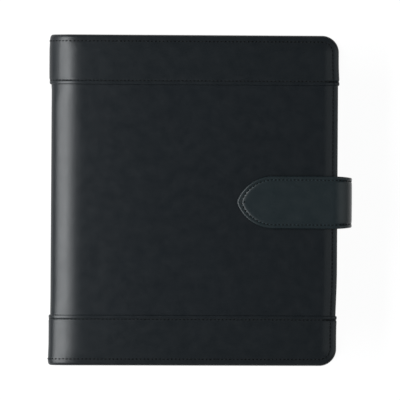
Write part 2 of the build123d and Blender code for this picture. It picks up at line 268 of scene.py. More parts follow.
def tail_creases(x, y):
    """Faint creases across the tail band, about a quarter of the way along it from the spine."""
    total = 0.0
    for place, slant, depth in ((-58, 0.25, 0.17), (-51, -0.1, 0.12), (-64, 0.45, 0.08)):
        distance = x - place - slant * (y + 102)
        total -= depth * math.exp(-((distance / 1.1) ** 2))
    reach = smooth((y + 117) / 8) * smooth((-y - 89) / 8)
    return total * reach


# ---- meshes ----
def shade(mesh):
    for face in mesh.polygons:
        face.use_smooth = True
    mesh.set_sharp_from_angle(angle=SHARP_ANGLE)


def new_object(name, points, faces, material, slot):
    """A piece from points in millimetres."""
    mesh = bpy.data.meshes.new(name)
    mesh.from_pydata([Vector(p) * MM for p in points], [], faces)
    mesh.validate()
    mesh.update()
    shade(mesh)
    piece = bpy.data.objects.new(name, mesh)
    bpy.context.scene.collection.objects.link(piece)
    piece.data.materials.append(material)
    return piece


def apply_modifiers(piece):
    graph = bpy.context.evaluated_depsgraph_get()
    final = bpy.data.meshes.new_from_object(piece.evaluated_get(graph))
    old = piece.data
    piece.modifiers.clear()
    piece.data = final
    bpy.data.meshes.remove(old)
    shade(final)


def flip(point, back, tail):
    """A point of the front cover's head half, turned over for the back cover or for the tail half."""
    x, y, z = point
    if tail:
        y = -y
    if back:
        z = 2 * MID - z
    return Vector((x, y, z))


def grid_faces(rows, cols, start=0, loop=False, turn=False):
    """Faces between rows of points. loop joins each row's ends, and turn faces the other way."""
    faces = []
    for i in range(rows - 1):
        for j in range(cols if loop else cols - 1):
            k = (j + 1) % cols
            a, b = start + i * cols + j, start + i * cols + k
            c, d = start + (i + 1) * cols + k, start + (i + 1) * cols + j
            faces.append((a, d, c, b) if turn else (a, b, c, d))
    return faces


def grid_piece(name, grid, finish, turn, thickness):
    """A sheet from rows of points, closed to a thin solid behind its face."""
    points = [p for row in grid for p in row]
    faces = grid_faces(len(grid), len(grid[0]), turn=turn)
    piece = new_object(name, points, faces, *finish)
    solid = piece.modifiers.new("thickness", "SOLIDIFY")
    solid.thickness = thickness * MM
    solid.offset = -1.0
    apply_modifiers(piece)
    return piece


# ---- materials ----
def node_material(name):
    material = bpy.data.materials.new(name)
    material.use_nodes = True
    tree = material.node_tree
    return material, tree, tree.nodes["Principled BSDF"]


def add_noise(tree, scale, detail, stretch=None):
    coords = tree.nodes.new("ShaderNodeTexCoord")
    texture = tree.nodes.new("ShaderNodeTexNoise")
    texture.inputs["Scale"].default_value = scale
    texture.inputs["Detail"].default_value = detail
    texture.inputs["Roughness"].default_value = 0.55
    source = coords.outputs["Object"]
    if stretch:
        mapping = tree.nodes.new("ShaderNodeMapping")
        mapping.inputs["Scale"].default_value = stretch
        tree.links.new(source, mapping.inputs["Vector"])
        source = mapping.outputs["Vector"]
    tree.links.new(source, texture.inputs["Vector"])
    return texture.outputs["Fac"]


def add_cells(tree, scale):
    """Distance to the creases between the small plates of leather grain."""
    coords = tree.nodes.new("ShaderNodeTexCoord")
    texture = tree.nodes.new("ShaderNodeTexVoronoi")
    texture.feature = "DISTANCE_TO_EDGE"
    texture.inputs["Scale"].default_value = scale
    tree.links.new(coords.outputs["Object"], texture.inputs["Vector"])
    return texture.outputs["Distance"]


def add_ramp(tree, source, low, high, low_value, high_value):
    ramp = tree.nodes.new("ShaderNodeMapRange")
    ramp.inputs["From Min"].default_value = low
    ramp.inputs["From Max"].default_value = high
    ramp.inputs["To Min"].default_value = low_value
    ramp.inputs["To Max"].default_value = high_value
    tree.links.new(source, ramp.inputs["Value"])
    return ramp.outputs["Result"]


def add_mix(tree, factor, dark, light):
    """Mix two colours. dark may also be the output of another mix."""
    mix = tree.nodes.new("ShaderNodeMix")
    mix.data_type = "RGBA"
    if isinstance(dark, tuple):
        mix.inputs[6].default_value = (*dark, 1)
    else:
        tree.links.new(dark, mix.inputs[6])
    mix.inputs[7].default_value = (*light, 1)
    tree.links.new(factor, mix.inputs[0])
    return mix.outputs[2]


def add_bump(tree, height, depth, strength, before=None):
    """depth is the real height of the relief, in millimetres."""
    bump = tree.nodes.new("ShaderNodeBump")
    bump.inputs["Distance"].default_value = depth * MM
    bump.inputs["Strength"].default_value = strength
    tree.links.new(height, bump.inputs["Height"])
    if before:
        tree.links.new(before, bump.inputs["Normal"])
    return bump.outputs["Normal"]


def leather_material(name, dark, light, rough, grain_depth, edge_wear_and_highlight=(0.54, 0.64, 0.35), wear_and_highlight_gain=2.2):
    """Smooth grained leather, paler at sharp edges: rubbed wear, and where set strong, a painted
    highlight on rims that catch the light.

    edge_wear_and_highlight is the sharpness where that starts, where it is full, and how much of it
    shows. wear_and_highlight_gain is how much lighter than the leather the edge gets."""
    material, tree, shader = node_material(name)
    mottle = add_noise(tree, 38.0, 4.0)
    base = add_mix(tree, add_ramp(tree, mottle, 0.3, 0.75, 0.0, 1.0), dark, light)
    geometry = tree.nodes.new("ShaderNodeNewGeometry")
    # Pointiness lightens sharp edges: rubbed wear on the covers, and a painted highlight on the strap's
    # rounded rims.
    wear_and_highlight_mask = add_ramp(tree, geometry.outputs["Pointiness"], edge_wear_and_highlight[0], edge_wear_and_highlight[1], 0.0, edge_wear_and_highlight[2])
    rubbed_and_highlit = add_mix(tree, wear_and_highlight_mask, base, tuple(wear_and_highlight_gain * c for c in light))
    tree.links.new(rubbed_and_highlit, shader.inputs["Base Color"])
    patches = add_noise(tree, 120.0, 3.0)
    tree.links.new(add_ramp(tree, patches, 0.3, 0.75, *rough), shader.inputs["Roughness"])
    cells = add_bump(tree, add_cells(tree, 1500.0), grain_depth, 0.4)
    pores = add_bump(tree, add_noise(tree, 5200.0, 2.0), grain_depth * 0.5, 0.3, cells)
    folds = add_bump(tree, add_noise(tree, 260.0, 4.0), grain_depth * 1.2, 0.15, pores)
    tree.links.new(folds, shader.inputs["Normal"])
    shader.inputs["Specular IOR Level"].default_value = 0.5
    return material


def thread_material():
    """Matt black twisted thread."""
    material, tree, shader = node_material("black_thread")
    twist = add_noise(tree, 2600.0, 1.0, stretch=(1.0, 1.0, 0.35))
    colour = add_mix(tree, twist, (0.0006, 0.0009, 0.0011), (0.0028, 0.0036, 0.0042))
    tree.links.new(colour, shader.inputs["Base Color"])
    shader.inputs["Roughness"].default_value = 0.62
    shader.inputs["Specular IOR Level"].default_value = 0.2
    tree.links.new(add_bump(tree, twist, 0.08, 0.7), shader.inputs["Normal"])
    return material


def lining_material():
    """Plain black woven lining: two crossed sets of ribs."""
    material, tree, shader = node_material("woven_lining")
    heights = []
    for axis in ("X", "Y"):
        coords = tree.nodes.new("ShaderNodeTexCoord")
        wave = tree.nodes.new("ShaderNodeTexWave")
        wave.bands_direction = axis
        wave.inputs["Scale"].default_value = 700.0
        wave.inputs["Distortion"].default_value = 0.6
        tree.links.new(coords.outputs["Object"], wave.inputs["Vector"])
        heights.append(wave.outputs["Fac"])
    weave = tree.nodes.new("ShaderNodeMath")
    weave.operation = "MAXIMUM"
    for i, height in enumerate(heights):
        tree.links.new(height, weave.inputs[i])
    cloud = add_noise(tree, 60.0, 3.0)
    colour = add_mix(tree, cloud, (0.010, 0.011, 0.012), (0.022, 0.023, 0.026))
    tree.links.new(colour, shader.inputs["Base Color"])
    shader.inputs["Roughness"].default_value = 0.7
    shader.inputs["Sheen Weight"].default_value = 0.25
    tree.links.new(add_bump(tree, weave.outputs[0], 0.12, 0.5), shader.inputs["Normal"])
    return material


def metal_material(name, colour, rough, scratch):
    """Plated metal with fine brushed lines along Y."""
    material, tree, shader = node_material(name)
    cloud = add_noise(tree, 90.0, 3.0)
    tint = tuple(0.88 * c for c in colour)
    tree.links.new(add_mix(tree, cloud, colour, tint), shader.inputs["Base Color"])
    shader.inputs["Metallic"].default_value = 1.0
    lines = add_noise(tree, 900.0, 4.0, stretch=(1.0, 0.06, 1.0))
    tree.links.new(add_ramp(tree, lines, 0.3, 0.7, *rough), shader.inputs["Roughness"])
    tree.links.new(add_bump(tree, lines, 0.01, scratch), shader.inputs["Normal"])
    return material


def plain_material(name, dark, light, scale, depth):
    """A matt speckled surface: board or foam."""
    material, tree, shader = node_material(name)
    grain = add_noise(tree, scale, 5.0)
    tree.links.new(add_mix(tree, grain, dark, light), shader.inputs["Base Color"])
    shader.inputs["Roughness"].default_value = 0.85
    tree.links.new(add_bump(tree, grain, depth, 0.5), shader.inputs["Normal"])
    return material


BLACK = leather_material(
    "black_leather", (0.0032, 0.0056, 0.0080), (0.0040, 0.0068, 0.0094), (0.36, 0.42), 0.05)
BAND_BLACK = leather_material(
    "band_leather", (0.0034, 0.0060, 0.0082), (0.0044, 0.0072, 0.0096), (0.36, 0.42), 0.05)
# The strap's strong edge lightening is mostly a painted highlight along its rounded rims, where light
# catches them.
STRAP_BLACK = leather_material(
    "strap_leather", (0.0084, 0.0150, 0.0178), (0.0098, 0.0168, 0.0196), (0.36, 0.43), 0.06,
    edge_wear_and_highlight=(0.505, 0.545, 1.0), wear_and_highlight_gain=3.2)
INNER_BLACK = leather_material(
    "inner_leather", (0.0060, 0.0068, 0.0074), (0.0090, 0.0100, 0.0108), (0.44, 0.54), 0.05)
THREAD = thread_material()
LINING = lining_material()
CHROME = metal_material("nickel_plate", (0.62, 0.62, 0.64), (0.24, 0.34), 0.15)
STEEL = metal_material("zinc_steel", (0.5, 0.5, 0.52), (0.32, 0.45), 0.4)
BOARD = plain_material("grey_board", (0.20, 0.17, 0.13), (0.30, 0.26, 0.21), 700.0, 0.06)
FOAM = plain_material("grey_foam", (0.10, 0.10, 0.105), (0.17, 0.17, 0.175), 1800.0, 0.15)
NODE_MATERIALS = {
    "leather": BLACK, "inner_leather": INNER_BLACK, "lining": LINING, "board": BOARD,
    "foam": FOAM, "plated_steel": CHROME, "magnet_steel": STEEL,
}
for subpart in frame["record"]["subparts"]:
    node = frame["nodes"][subpart["node"]]
    node.data.materials.clear()
    node.data.materials.append(NODE_MATERIALS[subpart["material_slot"]])


# ---- leather of the covers ----
def place_blend(piece, side, depth=BEND_DEPTH):
    """Bakes a piece's placing into its mesh. Hinge points between spine and cover are worked out, turned
    over for back pieces, but the piece is not bent.

    depth is not used: the hinge points made from it are never read."""
    spine_end = Vector((SPINE_X + depth, 0, ROLL_Z))
    cover_end = Vector((ROLL_X, 0, TOP - depth))
    if side == "front":
        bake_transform(piece)
    else:
        spine_end, cover_end = flip(spine_end, True, False), flip(cover_end, True, False)
        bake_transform(piece)


LEATHER_NORMALS = profile_normals(LEATHER_EDGE)
LINING_NORMALS = profile_normals(LINING_EDGE)


def shell_columns(profile):
    """Columns of a shell sheet, from under the fore-edge to mid spine."""
    rings = [("edge", k) for k in range(len(profile) - 1, 0, -1)]
    cover = steps(COVER_END, -1.5, 3.0)
    roll = steps(0, ROLL_ARC, 1.2)
    spine = steps(ROLL_ARC + 1.5, SPINE_END, 2.0)
    return rings + [("run", s) for s in cover + roll + spine]


def leather_sheet(name, side, tail, rows, offset_at, material, thickness):
    """A leather sheet over the shell. Each row is a place along Y and a height over the main leather."""
    back = side == "back"
    grid = []
    for row, row_offset in rows:
        line = []
        for col in shell_columns(LEATHER_EDGE):
            point, normal = shell_point(col, row, LEATHER_EDGE, LEATHER_NORMALS, shoulder_drop)
            point += normal * offset_at(col, row, row_offset, point)
            line.append(settle(flip(point, back, tail)))
        grid.append(line)
    piece = grid_piece(name, grid, (material, "leather"), back == tail, thickness)
    place_blend(piece, side)
    return piece


def under_share(key):
    """How much of a band's height is left at a row or column."""
    kind, at = key
    if kind != "edge":
        return 1.0
    drop = -LEATHER_EDGE[at][1]
    return 1.0 - (1.0 - BAND_TURNED) * smooth((drop - 2.6) / 1.6)


def main_offset(col, row, row_offset, point):
    """Height of the main leather, with the slow unevenness of its padded face."""
    if col[0] == "run" and col[1] < 0:
        return row_offset + softness(point.x, point.y) * smooth(-col[1] / 10)
    return row_offset


def band_offset(tail):
    """Height of a band over the main leather. The tail band has creases as well."""
    def offset(col, row, row_offset, point):
        height = row_offset * under_share(col) * under_share(row)
        if row[0] == "run" and col[0] == "run" and col[1] < 0:
            height += 0.6 * softness(point.x, point.y + 300)
            if tail:
                height += tail_creases(point.x, -point.y)
        return height
    return offset


def main_leather(side):
    """The leather between the bands. Its ends are thinned and tucked in under them."""
    tuck = BAND_EDGE + 2.4
    inner = steps(-BAND_EDGE + 1.5, BAND_EDGE - 1.5, 3.0)
    rows = [(-tuck, -0.1), (-BAND_EDGE - 0.6, -0.08), (-BAND_EDGE + 0.4, -0.04)]
    rows += [(y, 0.0) for y in inner]
    rows += [(BAND_EDGE - 0.4, -0.04), (BAND_EDGE + 0.6, -0.08), (tuck, -0.1)]
    rows = [(("run", y), lift) for y, lift in rows]
    return leather_sheet(f"{side}_main_leather", side, False, rows, main_offset, BLACK, MAIN_THICK)


def band_leather(side, end):
    """The band at one end: folded inner edge, face, and turned-over outer edge."""
    tail = end == "tail"
    rows = [(("run", BAND_EDGE + along), lift) for along, lift in BAND_FOLD]
    first = BAND_EDGE + BAND_FOLD[-1][0]
    face = steps(first, HALF - CORNER, 2.4)[1:-1]
    rows += [(("run", y), BAND_PROUD) for y in face]
    rows += [(("edge", k), BAND_PROUD) for k in range(len(LEATHER_EDGE))]
    name = f"{side}_{end}_band_leather"
    return leather_sheet(name, side, tail, rows, band_offset(tail), BAND_BLACK, BAND_THICK)


def lining_sheet(side):
    """Lining of one cover, its roll and half of the spine, with its edges folded under."""
    grid = []
    rings = [("edge", k) for k in range(len(LINING_EDGE))]
    half_rows = [("run", y) for y in steps(0, HALF - CORNER, 5.0)[:-1]] + rings
    for sign in (-1, 1):
        ordered = half_rows[:0:-1] if sign < 0 else half_rows
        for row in ordered:
            line = []
            for col in shell_columns(LINING_EDGE):
                point, _ = shell_point(col, row, LINING_EDGE, LINING_NORMALS, no_drop)
                line.append(settle(flip(point, side == "back", sign < 0)))
            grid.append(line)
    turn = side == "front"
    piece = grid_piece(f"{side}_lining_cloth", grid, (LINING, "lining"), turn, LINING_THICK)
    place_blend(piece, side, PANEL)
    return piece


for side in ("front", "back"):
    skin = main_leather(side)
    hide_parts(f"{side}_leather", f"{side}_roll_leather", "spine_leather")
    for end in ("head", "tail"):
        band = band_leather(side, end)
        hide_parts(f"{side}_{end}_band", f"{side}_roll_{end}_band", f"spine_{end}_band")
    cloth = lining_sheet(side)
    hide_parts(f"{side}_lining", f"{side}_roll_lining", "spine_lining")


def between(table, at):
    """Value at a place in a table of (place, value) that rises by place. None past its end."""
    for (a, value_a), (b, value_b) in zip(table, table[1:]):
        if at <= b:
            return value_a + (value_b - value_a) * (at - a) / (b - a)
    return None


# Rounded rim of a foam pad: distance in from its edge, and the share of its thickness that is gone.
FOAM_RIM = [(0.0, 0.5), (0.12, 0.22), (0.4, 0.06), (0.9, 0.0)]
FOAM_LEAST = 0.25
BORDER = LEATHER_EDGE[14::-1]  # the border's upper part, from the edge inwards


def border_lift(x, y):
    """How far the leather over the foam has come down, near the cover's edge."""
    inset = min(FORE - x, HALF - abs(y))
    over_x, over_y = x - FORE + CORNER, abs(y) - HALF + CORNER
    if over_x > 0 and over_y > 0:
        inset = CORNER - math.hypot(over_x, over_y)
    return between(BORDER, max(inset, BORDER[0][0])) or 0.0


def rounded_corner(x, y, high):
    """A point of a square grid, drawn in where the fore-edge corners are round."""
    across, along = x - high[0] + CORNER, abs(y) - high[1] + CORNER
    if across <= 0 or along <= 0:
        return x, y
    px = high[0] - CORNER + across * math.sqrt(1 - (along / CORNER) ** 2 / 2)
    py = high[1] - CORNER + along * math.sqrt(1 - (across / CORNER) ** 2 / 2)
    return px, math.copysign(py, y)


def foam_pad(side):
    """Thin foam over a cover's board, with a rounded rim. Its face follows the leather above it."""
    low, high = box_mm(f"{side}_foam")
    turn = side == "back"
    under = 2 * MID - high[2] if turn else low[2]
    rim = [i for i, _ in FOAM_RIM]
    xs = [low[0] + i for i in rim] + steps(low[0] + 3, high[0] - 15, 4.0)
    xs += steps(high[0] - 14, high[0] - 1.7, 1.1) + [high[0] - i for i in reversed(rim)]
    half_ys = steps(0, high[1] - 15, 6.0) + steps(high[1] - 14, high[1] - 1.7, 1.1)
    half_ys += [high[1] - i for i in reversed(rim)]
    ys = [-y for y in half_ys[:0:-1]] + half_ys
    upper, lower = [], []
    for y in ys:
        for x in xs:
            distance = min(x - low[0], high[0] - x, y - low[1], high[1] - y)
            px, py = rounded_corner(x, y, high)
            reach = ROLL_X - px
            face = shoulder_drop(reach) + softness(px, py) * smooth(-reach / 10)
            face = TOP - FOAM_GAP + min(face, 0.0) + border_lift(px, py)
            thick = max(face - under, FOAM_LEAST) * (1 - (between(FOAM_RIM, distance) or 0.0))
            upper.append(flip((px, py, under + thick), turn, False))
            lower.append(flip((px, py, under), turn, False))
    rows, cols = len(ys), len(xs)
    points = upper + lower
    faces = grid_faces(rows, cols, turn=turn) + grid_faces(rows, cols, rows * cols, turn=not turn)
    ring = [j for j in range(cols)] + [i * cols + cols - 1 for i in range(1, rows)]
    ring += [(rows - 1) * cols + j for j in range(cols - 2, -1, -1)]
    ring += [i * cols for i in range(rows - 2, 0, -1)]
    for a, b in zip(ring, ring[1:] + ring[:1]):
        face = (a, a + rows * cols, b + rows * cols, b)
        faces.append(face[::-1] if turn else face)
    pad = new_object(f"{side}_foam_pad", points, faces, FOAM, "foam")
    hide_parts(f"{side}_foam")
    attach(pad, f"{side}_cover")


for side in ("front", "back"):
    foam_pad(side)


# ---- stitching ----
STITCH_LONG = 1.85
STITCH_WIDE = 0.8
STITCH_SIDES = 6
STITCH_SLANT = 0.06
# Along one stitch: place as a share of its length, height, and width as a share of the full width.
STITCH_ARCH = [
    (-0.5, -0.3, 0.45), (-0.38, -0.04, 0.95), (0.0, 0.04, 1.0), (0.38, -0.04, 0.95), (0.5, -0.3, 0.45),
]
THREAD_LIFT = 0.14  # from the bottom of a seam's groove to the middle of its thread


def stitches(route):
    """One small arched thread for each stitch along a route of (point, normal)."""
    points, faces = [], []
    lengths = [0.0]
    for (a, _), (b, _) in zip(route, route[1:]):
        lengths.append(lengths[-1] + (b - a).length)
    count = max(1, round(lengths[-1] / PITCH))
    step = lengths[-1] / count
    at = 0
    for number in range(count):
        place = (number + 0.5) * step
        while lengths[at + 1] < place:
            at += 1
        (a, na), (b, nb) = route[at], route[at + 1]
        share = (place - lengths[at]) / (lengths[at + 1] - lengths[at])
        centre = a.lerp(b, share)
        normal = na.lerp(nb, share).normalized()
        along = (b - a).normalized()
        across = normal.cross(along).normalized()
        along = (along + across * STITCH_SLANT).normalized()
        start = len(points)
        for reach, rise, fat in STITCH_ARCH:
            ring = centre + along * (reach * STITCH_LONG) + normal * rise
            for k in range(STITCH_SIDES):
                angle = 2 * math.pi * k / STITCH_SIDES
                around = across * math.cos(angle) + normal * (0.75 * math.sin(angle))
                points.append(ring + around * (STITCH_WIDE / 2 * fat))
        faces += grid_faces(len(STITCH_ARCH), STITCH_SIDES, start, loop=True)
        last = start + (len(STITCH_ARCH) - 1) * STITCH_SIDES
        faces.append(tuple(range(start + STITCH_SIDES - 1, start - 1, -1)))
        faces.append(tuple(range(last, last + STITCH_SIDES)))
    return points, faces


def thread_piece(name, routes):
    """All the stitches along some routes, as one piece."""
    points, faces = [], []
    for route in routes:
        more, more_faces = stitches(route)
        shift = len(points)
        points += more
        faces += [tuple(i + shift for i in face) for face in more_faces]
    return new_object(name, points, faces, THREAD, "leather")


def edge_route(side, tail, on_band, outside):
    """Half of the seam round a cover, in the leather or, where outside is false, in the lining.

    Its first part runs from the middle of the fore-edge to the band, and its second, on_band, from there
    round the corner to mid spine."""
    corner_x, corner_y = FORE - CORNER, HALF - CORNER
    start, stop = (BAND_EDGE + 1.2, corner_y) if on_band else (0.0, BAND_EDGE - 0.6)
    height = SEAM_DROP + THREAD_LIFT if outside else LINING_SEAM - THREAD_LIFT
    if outside and on_band:
        height += BAND_PROUD
    shoulder = SHOULDER if outside else 0.0
    facing = 1 if outside else -1
    up = Vector((0, 0, 1))
    route = [(Vector((FORE - STITCH_IN, y, TOP + height)), up) for y in steps(start, stop, 4.0)]
    if on_band:
        for angle in steps(0, math.pi / 2, 0.15)[1:]:
            flat = Vector((math.cos(angle), math.sin(angle), 0)) * (CORNER - STITCH_IN)
            route.append((Vector((corner_x, corner_y, TOP + height)) + flat, up))
        for s in steps(COVER_END, 0, 4.0)[1:] + steps(0, ROLL_ARC, 1.5)[1:] + [SPINE_END]:
            drop = border_raise(s) + shoulder_drop(s) if outside else 0.0
            x, z = section(s, height + drop, shoulder)
            nx, nz = section_normal(s, shoulder)
            route.append((Vector((x, HALF - STITCH_IN, z)), Vector((nx, 0, nz))))
    back = side == "back"
    turned = []
    for point, normal in route:
        normal = Vector((normal.x, normal.y, -normal.z if back else normal.z))
        turned.append((settle(flip(point, back, tail)), normal * facing))
    return turned


def band_route(side, tail):
    """The seam along a band's folded inner edge, from the fore-edge to mid spine."""
    route = []
    back = side == "back"
    edge = ROLL_X - FORE
    for s in steps(edge + 2.6, 0, 4.0) + steps(0, ROLL_ARC, 1.5)[1:] + [SPINE_END]:
        past_border = smooth((s - edge - 2.4) / 3.2)
        x, z = section(s, BAND_GROOVE + 0.12 - 0.6 * (1 - past_border) + shoulder_drop(s))
        nx, nz = section_normal(s)
        point = settle(flip(Vector((x, BAND_EDGE + SEAM_IN, z)), back, tail))
        route.append((point, Vector((nx, 0, -nz if back else nz))))
    return route


parts = [(tail, on_band) for tail in (False, True) for on_band in (False, True)]
for side in ("front", "back"):
    outer = [edge_route(side, tail, on_band, True) for tail, on_band in parts]
    inner = [edge_route(side, tail, on_band, False) for tail, on_band in parts]
    bands = [band_route(side, tail) for tail in (False, True)]
    place_blend(thread_piece(f"{side}_edge_thread", outer), side)
    place_blend(thread_piece(f"{side}_lining_thread", inner), side, PANEL)
    place_blend(thread_piece(f"{side}_band_thread", bands), side)


# ---- strap ----
STRAP_Y = (wrap_low[1] + wrap_high[1]) / 2
STRAP_HALF = (wrap_high[1] - wrap_low[1]) / 2
STRAP_THICK = wrap_high[0] - wrap_low[0]
BEND_X = tab_high[0]
BEND_R = (wrap_low[0] + wrap_high[0]) / 2 - BEND_X
BEND_HIGH = wrap_high[2]
BEND_LOW = wrap_low[2]
CREST_X = BEND_X - 4.0  # where the tab starts to bend down over the fore-edge
TAB_MID = box_mm("tab_lining")[0][2] + STRAP_THICK / 2
TAB_TIP = tab_low[0]
OGIVE_R = 28.5  # radius of the tab's two long curves
TIP_R = 5.0  # radius of its rounded point
PINCH = 0.9  # how much narrower each side of the strap is round the fore-edge
STRAP_SEAM = 2.8  # from the strap's edge to its seam
# Border of the strap: distance in from its edge, and height of each face from mid thickness.
STRAP_TOP = [(0.0, 0.0), (0.06, 0.42), (0.32, 0.8), (0.8, 1.02), (1.4, 1.1), (2.0, 1.04), (2.45, 0.76),
             (2.8, 0.52), (3.15, 0.7), (3.6, 0.92), (4.3, 1.05), (4.9, 1.1)]
STRAP_UNDER = [(4.9, -1.16), (3.6, -1.08), (3.1, -0.95), (2.8, -0.85), (2.5, -0.95), (1.6, -1.12),
               (0.8, -1.06), (0.32, -0.82), (0.06, -0.42)]
STRAP_GROOVES = (0.52, -0.85)  # heights of the seam in those two faces
FACE_HIGH, FACE_LOW = 1.12, -1.18  # the faces between the borders
RUNGS = [0.8, 0.55, 0.28, 0.0, -0.28, -0.55, -0.8]  # points across those faces
OGIVE_DROP = OGIVE_R - STRAP_HALF  # the long curves' centres lie this far over the strap's middle
OGIVE_REACH = math.sqrt((OGIVE_R - TIP_R) ** 2 - OGIVE_DROP**2)
OGIVE_X = TAB_TIP + TIP_R + OGIVE_REACH  # where the straight sides end


def tab_edge(share, inset):
    """A point of the tab's upper outline at an inset.

    share is 0 to 1 along the long curve, and 1 to 2 round the tip."""
    meet = math.atan2(OGIVE_DROP, -OGIVE_REACH)
    # Towards the tip the groove and the ridge inside it are drawn wider.
    inset += max(0.0, inset - 1.6) * 0.8 * smooth((share - 0.55) / 1.1)
    radius = OGIVE_R - inset
    crossing = math.pi - math.asin(OGIVE_DROP / radius)
    if share <= 1 or inset >= TIP_R:
        angle = min(math.pi / 2 + (meet - math.pi / 2) * min(share, 1.0), crossing)
        if share > 1:
            angle = crossing
        return OGIVE_X + radius * math.cos(angle), max(0.0, radius * math.sin(angle) - OGIVE_DROP)
    angle = meet + (math.pi - meet) * (share - 1)
    radius = TIP_R - inset
    return OGIVE_X - OGIVE_REACH + radius * math.cos(angle), radius * math.sin(angle)


def strap_path(kind, at):
    """Where the middle of the strap is, as x and z, and its outward normal there."""
    if kind == "root":
        return at, BEND_LOW - BEND_R, 0.0, -1.0
    if kind == "low":
        angle = -math.pi / 2 + at * math.pi / 2
        nx, nz = math.cos(angle), math.sin(angle)
        return BEND_X + BEND_R * nx, BEND_LOW + BEND_R * nz, nx, nz
    if kind == "wrap":
        belly = 0.5 * math.sin(math.pi * (at - BEND_LOW) / (BEND_HIGH - BEND_LOW))
        return BEND_X + BEND_R + belly, at, 1.0, 0.0
    if kind == "high":
        angle = at * math.pi / 2
        wide = BEND_R + BEND_X - CREST_X
        nx, nz = math.cos(angle) * BEND_R, math.sin(angle) * wide
        size = math.hypot(nx, nz)
        x, z = CREST_X + wide * math.cos(angle), BEND_HIGH + BEND_R * math.sin(angle)
        return x, z, nx / size, nz / size
    # The flat tab dips a little just before it bends down.
    from_dip = at - CREST_X + 8.0
    spread = 10.0 if from_dip < 0 else 8.0
    dip = 0.16 * math.exp(-((from_dip / spread) ** 2))
    return at, TAB_MID - dip, 0.0, 1.0


def strap_half(kind, at):
    """Half width. The strap is drawn in slightly where it goes round the fore-edge."""
    pinch = {"root": 0.0, "low": smooth(at), "wrap": 1.0, "high": smooth(1 - at)}.get(kind, 0.0)
    return STRAP_HALF - PINCH * pinch


def strap_loop(kind, at):
    """One closed line of points across the strap, over the top face and back along the underside."""
    if kind in ("ogive", "tip"):
        share = at if kind == "ogive" else 1 + at
        top = [(*tab_edge(share, inset), lift) for inset, lift in STRAP_TOP]
        under = [(*tab_edge(share, inset), lift) for inset, lift in STRAP_UNDER]
        inner_x, inner_y, _ = top[-1]
        across = top + [(inner_x, inner_y * r, FACE_HIGH) for r in RUNGS]
        across += [(x, -y, lift) for x, y, lift in reversed(top)]
        across += [(x, -y, lift) for x, y, lift in reversed(under)]
        across += [(inner_x, -inner_y * r, FACE_LOW) for r in RUNGS] + under
        return [Vector((x, STRAP_Y + y, TAB_MID + lift)) for x, y, lift in across]
    px, pz, nx, nz = strap_path(kind, at)
    half = strap_half(kind, at)
    top = [(half - inset, lift) for inset, lift in STRAP_TOP]
    under = [(half - inset, lift) for inset, lift in STRAP_UNDER]
    inner_y = top[-1][0]
    across = top + [(inner_y * r, FACE_HIGH + 0.06 * (1 - abs(r))) for r in RUNGS]
    across += [(-y, lift) for y, lift in reversed(top)]
    across += [(-y, lift) for y, lift in reversed(under)]
    across += [(-inner_y * r, FACE_LOW) for r in RUNGS] + under
    return [Vector((px + nx * lift, STRAP_Y + y, pz + nz * lift)) for y, lift in across]


def strap_piece(name, stations):
    """A closed length of strap through its stations, each a part of the strap and a place in it."""
    loops = [strap_loop(kind, at) for kind, at in stations]
    width = len(loops[0])
    points = [p for loop in loops for p in loop]
    faces = grid_faces(len(loops), width, loop=True)
    faces.append(tuple(range(width)))
    if stations[-1][0] != "tip":
        last = (len(loops) - 1) * width
        faces.append(tuple(range(last + width - 1, last - 1, -1)))
    piece = new_object(name, points, faces, STRAP_BLACK, "leather")
    weld = piece.modifiers.new("weld", "WELD")
    weld.merge_threshold = 0.01 * MM
    apply_modifiers(piece)
    return piece


# The strap is two pieces that meet half way up the wrap, one across each bend.
SPLIT_Z = (BEND_LOW + BEND_HIGH) / 2
ROOT_X = box_mm("strap_root")[0][0] + 1
lower_stations = [("root", x) for x in steps(ROOT_X, BEND_X, 3.0)]
lower_stations += [("low", t) for t in steps(0, 1, 0.09)[1:]]
lower_stations += [("wrap", z) for z in steps(BEND_LOW, SPLIT_Z, 2.0)[1:]]
upper_stations = [("wrap", z) for z in steps(SPLIT_Z, BEND_HIGH, 2.0)]
upper_stations += [("high", t) for t in steps(0, 1, 0.09)[1:]]
upper_stations += [("tab", x) for x in reversed(steps(OGIVE_X, CREST_X, 1.2))][1:]
upper_stations += [("ogive", t) for t in steps(0, 1, 0.05)[1:]]
upper_stations += [("tip", t) for t in steps(0, 1, 0.1)[1:]]
strap_lower = strap_piece("strap_lower_leather", lower_stations)
strap_upper = strap_piece("strap_upper_leather", upper_stations)
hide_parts("strap_root", "strap_lower_bend", "strap_wrap")
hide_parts("strap_upper_bend", "tab_leather", "tab_lining", "tab_stiffener")


def strap_route(stations, lift, sign):
    """The seam along one edge of the strap: lift is its height, and sign its side."""
    facing = 1 if lift > 0 else -1
    route = []
    for kind, at in stations:
        if kind in ("ogive", "tip"):
            x, y = tab_edge(at if kind == "ogive" else 1 + at, STRAP_SEAM)
            route.append((Vector((x, STRAP_Y + sign * y, TAB_MID + lift)), Vector((0, 0, facing))))
        else:
            px, pz, nx, nz = strap_path(kind, at)
            y = STRAP_Y + sign * (strap_half(kind, at) - STRAP_SEAM)
            route.append((Vector((px + nx * lift, y, pz + nz * lift)), Vector((nx, 0, nz)) * facing))
    return route


def strap_thread(name, stations):
    """Both seams of the strap, on its face and on its underside."""
    upper, lower = STRAP_GROOVES
    lifts = (upper + THREAD_LIFT, lower - THREAD_LIFT)
    return thread_piece(name, [strap_route(stations, lift, sign) for lift in lifts for sign in (-1, 1)])


lower_thread = strap_thread("strap_lower_thread", [s for s in lower_stations if s[0] != "root"])
upper_thread = strap_thread("strap_upper_thread", upper_stations)
for piece in (strap_lower, lower_thread):
    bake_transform(piece)
for piece in (strap_upper, upper_thread):
    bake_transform(piece)


